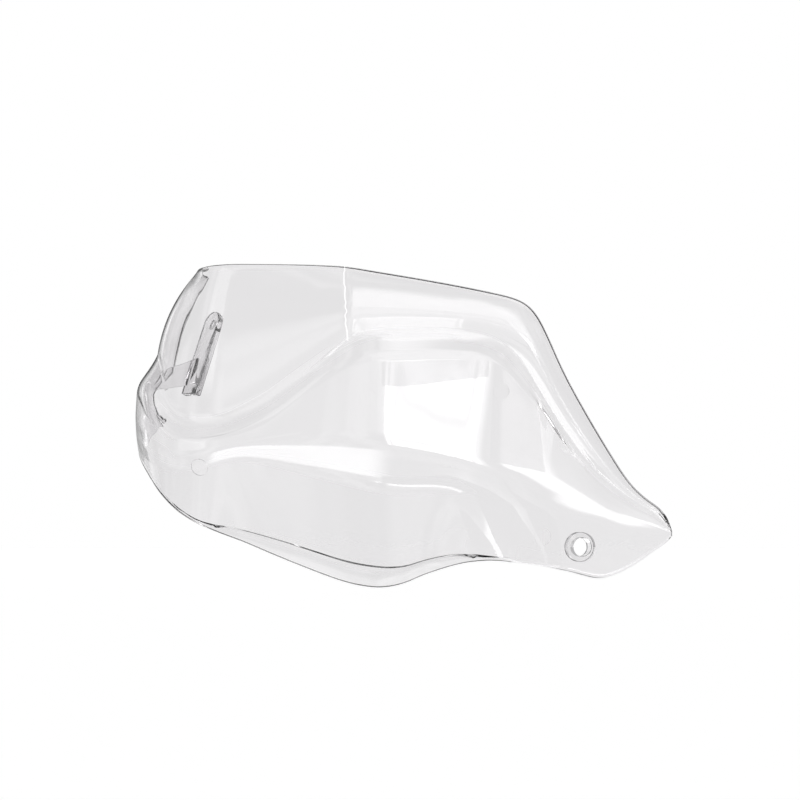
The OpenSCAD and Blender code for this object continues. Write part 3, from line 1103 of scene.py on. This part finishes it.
@dataclass
class Studio:
    """Floor, background, lamp, cards and camera."""

    scale_px_per_mm: float = 1.85
    hole_px: tuple[float, float] = (582.5, 547.0)
    frame_px: float = 800.0
    camera_distance: float = 8.0
    camera_sees: float = 100.0
    sensor: float = 36.0
    room_level: float = 0.05
    room_bright: float = 0.7
    room_scale: float = 4.0
    room_dark_below: float = 0.4
    room_bright_above: float = 0.65
    ambient: float = 0.3
    # The paper sweep is a pale ring behind the guard, placed by the Y of a reflection's direction.
    sweep_level: float = 0.8
    sweep_middle: float = 0.64
    sweep_width: float = 0.4
    sweep_soft: float = 0.2
    # What is left of the white background each time that it has been mirrored inside the wall.
    mirror_keep: float = 0.4
    panels: tuple[Panel, ...] = (
        Panel("left_pane", 22.2, 4.5, 1.5, 19, 3.5, 0.9, 1.5),
        Panel("middle_pane", 24.9, 4.5, 1.9, 19, 3.5, 0.9, 1.5),
        Panel("right_pane", 28.0, 4.5, 2.2, 19, 3.5, 1.0, 1.5),
        Panel("pane_frames", 26.0, 4.5, 9.6, 19, 2.2, 2.6, 1.6),
        Panel("upper_pane", 27, 33, 20, 40, 1.8, 8, 10),
        Panel("table", -7, -24, 46, 20, 3.4, 13, 4),
        Panel("bench_edge", 27, -44, 30, 4, 4, 2, 2),
        Panel("tip_strip", 39, 3.5, 5, 5, 3, 1.5, 1.5),
        Panel("side_strip", -60.5, 29, 27, 36, 1.0, 1.5, 6),
        Panel("front_fill", 0, -22, 90, 85, 0.4, 14, 14),
        Panel("rear_pane", 163, 10, 14, 26, 2.4, 4, 6),
        Panel("rear_bench", -160, -24, 30, 14, 2.0, 8, 6),
    )
    floor_level: float = -0.30
    floor_size: float = 60.0
    floor_glow: float = 0.678
    floor_paper: str = "F4F4F4"
    key: Softbox = Softbox("key", 28, 35, 30, 30, 1.0)
    lamp_far: float = 3.0
    lamp_aim: tuple[float, float, float] = (-0.12, 0.0, 0.06)
    cards: tuple[Card, ...] = (
        Card("neck_card", -37, -115, -36, 90, 40, 0.15),
        Card("low_card", -93, -115, -78, 36, 46, 0.15),
        Card("hole_card", 36, -115, -8, 44, 32, 0.15),
        Card("window_card", -28, -130, 117.5, 90, 19, 0.15),
        Card("outer_card", 56, -130, 88, 62, 64, 0.15),
        Card("foot_card", -67, -60, 132.5, 106, 41, 1.0),
    )

    def camera(self) -> None:
        """Puts a long lens straight in front of the guard."""
        half = self.frame_px / 2
        x = (half - self.hole_px[0]) / self.scale_px_per_mm * MM
        z = (self.hole_px[1] - half) / self.scale_px_per_mm * MM
        lens = bpy.data.cameras.new("camera")
        lens.sensor_width = self.sensor
        lens.lens = self.sensor * self.camera_distance / (self.frame_px / self.scale_px_per_mm * MM)
        lens.clip_end = self.camera_sees
        camera = bpy.data.objects.new("camera", lens)
        camera.location = (x, -self.camera_distance, z)
        camera.rotation_euler = (math.radians(90), 0, 0)
        bpy.context.scene.collection.objects.link(camera)
        bpy.context.scene.camera = camera

    @staticmethod
    def exposure() -> None:
        """Keeps colours as they are written."""
        bpy.context.scene.view_settings.view_transform = "Standard"

    @staticmethod
    def band(
        tree: bpy.types.NodeTree, value: bpy.types.NodeSocket, centre: float, width: float, soft: float,
    ) -> bpy.types.NodeSocket:
        """One where a value lies in a band, and zero outside it, with soft edges.

        Args:
            tree: The world's node tree.
            value: The value, such as an angle in degrees.
            centre: Middle of the band.
            width: Width of the band.
            soft: Width of its soft edges.

        Returns:
            The mask.
        """
        off = add_node(tree, "ShaderNodeMath", {0: value, 1: centre}, operation="SUBTRACT")
        away = add_node(tree, "ShaderNodeMath", {0: off.outputs[0]}, operation="ABSOLUTE")
        mask = add_node(
            tree, "ShaderNodeMapRange",
            {"Value": away.outputs[0], "From Min": (width + soft) / 2, "From Max": (width - soft) / 2},
            interpolation_type="SMOOTHSTEP",
        )
        return mask.outputs["Result"]

    def seen(self, tree: bpy.types.NodeTree) -> bpy.types.NodeSocket:
        """Tells what is looked at, directly or straight through the plastic, from what is mirrored.

        Args:
            tree: The node tree of the world or the floor.

        Returns:
            One for a camera ray and for a ray that has passed straight through the wall, and less for each
            time that it has been mirrored inside it.
        """
        path = add_node(tree, "ShaderNodeLightPath").outputs
        kept = add_node(
            tree, "ShaderNodeMath", {0: self.mirror_keep, 1: path["Glossy Depth"]}, operation="POWER",
        )
        straight = add_node(
            tree, "ShaderNodeMath",
            {0: path["Is Transmission Ray"], 1: kept.outputs[0]}, operation="MULTIPLY",
        )
        return add_node(
            tree, "ShaderNodeMath", {0: path["Is Camera Ray"], 1: straight.outputs[0]}, operation="MAXIMUM",
        ).outputs[0]

    def world(self) -> None:
        """White to the camera and through the plastic, a dim room with light panels to reflections."""
        world = bpy.data.worlds.new("studio")
        bpy.context.scene.world = world
        world.use_nodes = True
        tree = world.node_tree
        tree.nodes.clear()
        way = add_node(tree, "ShaderNodeTexCoord").outputs["Generated"]
        part = add_node(tree, "ShaderNodeSeparateXYZ", {"Vector": way}).outputs
        front = add_node(tree, "ShaderNodeMath", {0: part["Y"], 1: -1.0}, operation="MULTIPLY")
        turn = add_node(tree, "ShaderNodeMath", {0: part["X"], 1: front.outputs[0]}, operation="ARCTAN2")
        rise = add_node(tree, "ShaderNodeMath", {0: part["Z"]}, operation="ARCSINE")
        azimuth = add_node(tree, "ShaderNodeMath", {0: turn.outputs[0]}, operation="DEGREES").outputs[0]
        height = add_node(tree, "ShaderNodeMath", {0: rise.outputs[0]}, operation="DEGREES").outputs[0]
        aside = self.band(tree, part["Y"], self.sweep_middle, self.sweep_width, self.sweep_soft)
        blur = add_node(
            tree, "ShaderNodeTexNoise",
            {"Vector": way, "Scale": self.room_scale, "Detail": 2.0, "Roughness": 0.5},
        )
        things = add_node(
            tree, "ShaderNodeMapRange",
            {"Value": blur.outputs["Fac"],
             "From Min": self.room_dark_below, "From Max": self.room_bright_above,
             "To Min": self.room_level, "To Max": self.room_bright}, interpolation_type="SMOOTHSTEP",
        )
        total = add_node(
            tree, "ShaderNodeMath", {0: aside, 1: self.sweep_level, 2: things.outputs["Result"]},
            operation="MULTIPLY_ADD",
        ).outputs[0]
        for panel in self.panels:
            across = self.band(tree, azimuth, panel.azimuth, panel.width, panel.side_soft)
            upright = self.band(tree, height, panel.height, panel.tall, panel.end_soft)
            both = add_node(tree, "ShaderNodeMath", {0: across, 1: upright}, operation="MULTIPLY").outputs[0]
            total = add_node(
                tree, "ShaderNodeMath", {0: both, 1: panel.glow, 2: total}, operation="MULTIPLY_ADD",
            ).outputs[0]
        white = add_node(tree, "ShaderNodeBackground", {"Color": linear("FFFFFF"), "Strength": 1.0})
        light_path = add_node(tree, "ShaderNodeLightPath").outputs
        level = add_node(
            tree, "ShaderNodeMapRange",
            {"Value": light_path["Is Diffuse Ray"], "To Min": total, "To Max": self.ambient},
        )
        room = add_node(
            tree, "ShaderNodeBackground", {"Color": linear("FFFFFF"), "Strength": level.outputs["Result"]},
        )
        mix = add_node(
            tree, "ShaderNodeMixShader", {0: self.seen(tree), 1: room.outputs[0], 2: white.outputs[0]},
        )
        add_node(tree, "ShaderNodeOutputWorld", {"Surface": mix.outputs[0]})

    def floor(self) -> None:
        """Lays a plain pale floor, white to the camera and through the plastic, that keeps the shadow."""
        half = self.floor_size / 2
        level = self.floor_level
        corners = [(-half, -half, level), (half, -half, level), (half, half, level), (-half, half, level)]
        mesh = bpy.data.meshes.new("floor")
        mesh.from_pydata(corners, [], [(0, 1, 2, 3)])
        material = bpy.data.materials.new("floor_paper")
        material.use_nodes = True
        tree = material.node_tree
        tree.nodes.clear()
        paper = add_node(tree, "ShaderNodeBsdfDiffuse", {"Color": linear(self.floor_paper)})
        seen = self.seen(tree)
        raised = add_node(tree, "ShaderNodeMath", {0: seen, 1: self.floor_glow}, operation="MULTIPLY")
        glow = add_node(
            tree, "ShaderNodeEmission", {"Color": linear("FFFFFF"), "Strength": raised.outputs[0]},
        )
        both = add_node(tree, "ShaderNodeAddShader", {0: paper.outputs[0], 1: glow.outputs[0]})
        add_node(tree, "ShaderNodeOutputMaterial", {"Surface": both.outputs[0]})
        mesh.materials.append(material)
        floor = bpy.data.objects.new("floor", mesh)
        bpy.context.scene.collection.objects.link(floor)
        floor.visible_glossy = False

    def hang(self, card: Card) -> None:
        """Hangs a card in front of the guard, seen in reflections alone.

        Args:
            card: The card.
        """
        left, right = (card.x - card.width / 2) * MM, (card.x + card.width / 2) * MM
        low, high = (card.z - card.tall / 2) * MM, (card.z + card.tall / 2) * MM
        y = card.y * MM
        corners = [(left, y, low), (right, y, low), (right, y, high), (left, y, high)]
        mesh = bpy.data.meshes.new(card.name)
        mesh.from_pydata(corners, [], [(0, 1, 2, 3)])
        material = bpy.data.materials.new(card.name)
        material.use_nodes = True
        tree = material.node_tree
        tree.nodes.clear()
        dim = add_node(tree, "ShaderNodeEmission", {"Color": linear("FFFFFF"), "Strength": card.level})
        add_node(tree, "ShaderNodeOutputMaterial", {"Surface": dim.outputs[0]})
        mesh.materials.append(material)
        sheet = bpy.data.objects.new(card.name, mesh)
        bpy.context.scene.collection.objects.link(sheet)
        sheet.visible_camera = False
        sheet.visible_transmission = False
        sheet.visible_diffuse = False
        sheet.visible_shadow = False

    def light(self, box: Softbox) -> None:
        """Adds a softbox that lights the guard and isn't mirrored in it.

        Args:
            box: The softbox.
        """
        a, e = math.radians(box.azimuth), math.radians(box.height)
        way = Vector((math.sin(a) * math.cos(e), -math.cos(a) * math.cos(e), math.sin(e)))
        lamp = bpy.data.lights.new(box.name, "AREA")
        lamp.shape = "RECTANGLE"
        lamp.size = 2 * self.lamp_far * math.tan(math.radians(box.width / 2))
        lamp.size_y = 2 * self.lamp_far * math.tan(math.radians(box.tall / 2))
        lamp.energy = box.glow * math.pi * lamp.size * lamp.size_y
        stand = bpy.data.objects.new(box.name, lamp)
        stand.location = Vector(self.lamp_aim) + way * self.lamp_far
        stand.rotation_euler = (-way).to_track_quat("-Z", "Y").to_euler()
        stand.visible_glossy = False
        bpy.context.scene.collection.objects.link(stand)

    def build(self) -> None:
        """Builds the whole studio."""
        self.camera()
        self.exposure()
        self.world()
        self.floor()
        for card in self.cards:
            self.hang(card)
        self.light(self.key)


def main() -> None:
    """Loads the frame, builds the guard and its studio, puts the guard on the root body and hides the
    imported shell.
    """
    logging.basicConfig(level=logging.INFO, format="%(message)s")
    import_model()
    shell = GuardShell().build()
    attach(shell, "root")
    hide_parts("shell")
    Studio().build()


if __name__ == "__main__":
    main()
